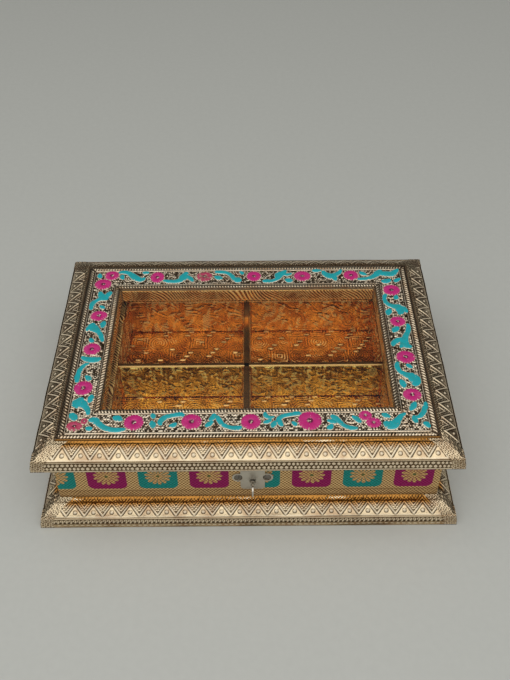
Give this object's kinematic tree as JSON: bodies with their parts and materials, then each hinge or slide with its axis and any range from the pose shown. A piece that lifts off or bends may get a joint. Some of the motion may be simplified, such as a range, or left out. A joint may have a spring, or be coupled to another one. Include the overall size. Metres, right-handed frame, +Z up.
{
  "type": "dry fruit box",
  "caption": "Shallow rectangular box with a hinged glazed lid, flared embossed mouldings, a woven band, a divided tray inside and a small keyed lock on the front.",
  "frame": {"origin": "centre of the base, on the surface that the box stands on", "axes": "+X along the length to the right seen from the lock side, +Y from front to back, +Z up"},
  "size_m": [0.305, 0.229, 0.077],
  "materials": {
    "board": "plain fibreboard, raw edges",
    "gold_foil": "thin embossed champagne-gold sheet",
    "copper_foil": "fibreboard wrapped in embossed copper-gold foil",
    "enamelled_metal": "stamped sheet with pink and teal enamel",
    "brocade": "gold woven ribbon with magenta and teal squares",
    "glass": "clear float glass",
    "nickel": "satin nickel plate",
    "steel": "pressed steel",
    "brass": "brass-plated"
  },
  "bodies": {
    "box": {"base_rail_front": "board", "base_foil_front": "gold_foil", "wall_front": "board", "tray_wall_front": "copper_foil", "tray_rim_front": "copper_foil", "base_rail_back": "board", "base_foil_back": "gold_foil", "wall_back": "board", "tray_wall_back": "copper_foil", "tray_rim_back": "copper_foil", "base_rail_left": "board", "base_foil_left": "gold_foil", "wall_left": "board", "tray_wall_left": "copper_foil", "tray_rim_left": "copper_foil", "base_rail_right": "board", "base_foil_right": "gold_foil", "wall_right": "board", "tray_wall_right": "copper_foil", "tray_rim_right": "copper_foil", "base_panel": "board", "brocade_ribbon": "brocade", "tray_floor": "copper_foil", "long_divider": "copper_foil", "cross_divider": "copper_foil", "lock_plate": "nickel", "lock_plate_screws": "nickel", "lock_case": "steel", "lock_cover": "steel", "lock_case_screws": "steel", "hinge_wall_leaf_left": "brass", "hinge_pin_left": "steel", "hinge_wall_leaf_right": "brass", "hinge_pin_right": "steel", "hinge_wall_screws": "brass"},
    "lid": {"lid_rail_front": "board", "lid_foil_front": "gold_foil", "lid_board_front": "board", "enamel_strip_front": "enamelled_metal", "lid_rail_back": "board", "lid_foil_back": "gold_foil", "lid_board_back": "board", "enamel_strip_back": "enamelled_metal", "lid_rail_left": "board", "lid_foil_left": "gold_foil", "lid_board_left": "board", "enamel_strip_left": "enamelled_metal", "lid_rail_right": "board", "lid_foil_right": "gold_foil", "lid_board_right": "board", "enamel_strip_right": "enamelled_metal", "glass_pane": "glass", "strike_plate": "steel", "strike_screws": "steel", "hinge_lid_leaf_left": "brass", "hinge_lid_leaf_right": "brass", "hinge_lid_screws": "brass"},
    "key": {"key": "nickel"},
    "bolt": {"lock_bolt": "steel"}
  },
  "joints": [
    {"name": "lid_open", "type": "hinge", "parent": "box", "child": "lid", "pos_m": [0, 0.1024, 0.05895], "axis": [-1, 0, 0], "range_deg": [0, 105]},
    {"name": "key_turn", "type": "hinge", "parent": "box", "child": "key", "pos_m": [0.0031, -0.1001, 0.035], "axis": [0, 1, 0], "range_deg": [0, 90]},
    {"name": "bolt_slide", "type": "slide", "parent": "box", "child": "bolt", "axis": [-1, 0, 0], "range_m": [0, 0.005]}
  ],
  "couplings": [
    {"joint": "key_turn", "follows": "bolt_slide", "rad_per_m": 314.16}
  ]
}
